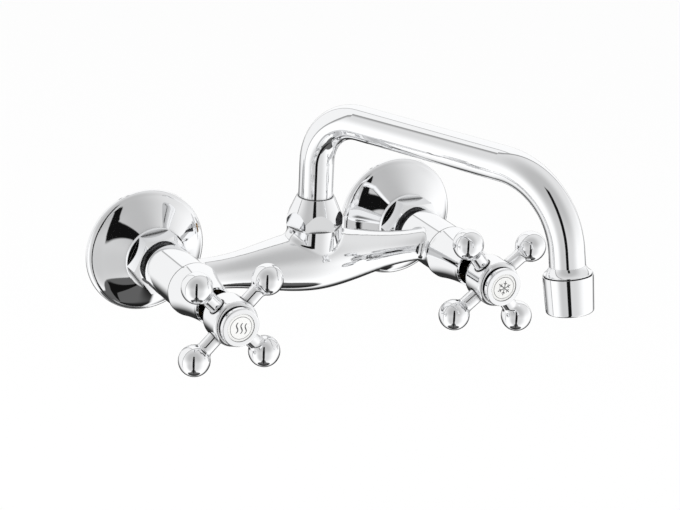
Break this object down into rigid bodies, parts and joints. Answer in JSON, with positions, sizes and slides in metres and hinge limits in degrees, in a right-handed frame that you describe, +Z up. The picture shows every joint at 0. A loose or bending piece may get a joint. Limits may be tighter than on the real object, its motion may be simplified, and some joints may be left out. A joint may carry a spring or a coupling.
{
  "type": "wall-mounted basin tap",
  "caption": "Wall-mounted basin tap: hot and cold cross handles on a blended bridge body, with a tall swivelling tube spout that ends in an aerator.",
  "frame": {"origin": "on the wall's face, midway between the two wall inlets", "axes": "+Z up, +Y into the wall, +X to the right seen from the front; the tap stands out towards -Y"},
  "size_m": [0.2166, 0.2224, 0.1248],
  "materials": {
    "chrome_cast": "polished chrome over a cast and buffed body",
    "chrome_pressed": "polished chrome over pressed sheet",
    "chrome_turned": "polished chrome over turned brass",
    "raw_brass": "turned, unplated",
    "steel": "plain zinc grey",
    "rubber": "matt black",
    "ceramic": "lapped alumina",
    "porcelain": "glazed white porcelain",
    "glide_plastic": "slippery white plastic",
    "jet_plastic": "moulded light grey"
  },
  "bodies": {
    "tap_body": {"bridge_body": "chrome_cast", "hot_wall_union": "raw_brass", "hot_escutcheon": "chrome_pressed", "hot_coupling_nut": "chrome_turned", "hot_inlet_washer": "rubber", "hot_tail_piece": "chrome_turned", "hot_seat_seal": "rubber", "hot_fixed_disc": "ceramic", "hot_cartridge_body": "raw_brass", "hot_cartridge_gasket": "rubber", "hot_shroud": "chrome_turned", "cold_wall_union": "raw_brass", "cold_escutcheon": "chrome_pressed", "cold_coupling_nut": "chrome_turned", "cold_inlet_washer": "rubber", "cold_tail_piece": "chrome_turned", "cold_seat_seal": "rubber", "cold_fixed_disc": "ceramic", "cold_cartridge_body": "raw_brass", "cold_cartridge_gasket": "rubber", "cold_shroud": "chrome_turned", "spout_lower_glide": "glide_plastic", "spout_upper_glide": "glide_plastic", "spout_nut": "chrome_turned"},
    "hot_handle": {"hot_moving_disc": "ceramic", "hot_spindle": "raw_brass", "hot_spindle_ring": "rubber", "hot_spindle_clip": "steel", "hot_handle_hub": "chrome_turned", "hot_ball_arms": "chrome_turned", "hot_handle_screw": "steel", "hot_index_ring": "chrome_turned", "hot_index_button": "porcelain"},
    "cold_handle": {"cold_moving_disc": "ceramic", "cold_spindle": "raw_brass", "cold_spindle_ring": "rubber", "cold_spindle_clip": "steel", "cold_handle_hub": "chrome_turned", "cold_ball_arms": "chrome_turned", "cold_handle_screw": "steel", "cold_index_ring": "chrome_turned", "cold_index_button": "porcelain"},
    "spout": {"spout_tube": "chrome_turned", "spout_foot": "raw_brass", "spout_rings": "rubber", "outlet_collar": "chrome_turned", "aerator_housing": "chrome_turned", "aerator_insert": "jet_plastic", "aerator_washer": "rubber"}
  },
  "joints": [
    {"name": "hot_handle_turn", "type": "hinge", "parent": "tap_body", "child": "hot_handle", "pos_m": [-0.075, -0.1, 0.006], "axis": [0, -1, 0], "range_deg": [0, 90]},
    {"name": "cold_handle_turn", "type": "hinge", "parent": "tap_body", "child": "cold_handle", "pos_m": [0.075, -0.1, 0.006], "axis": [0, 1, 0], "range_deg": [0, 90]},
    {"name": "spout_swivel", "type": "hinge", "parent": "tap_body", "child": "spout", "pos_m": [0, -0.0495, 0.033], "axis": [0, 0, 1], "range_deg": [-123.8, 76.2]}
  ]
}
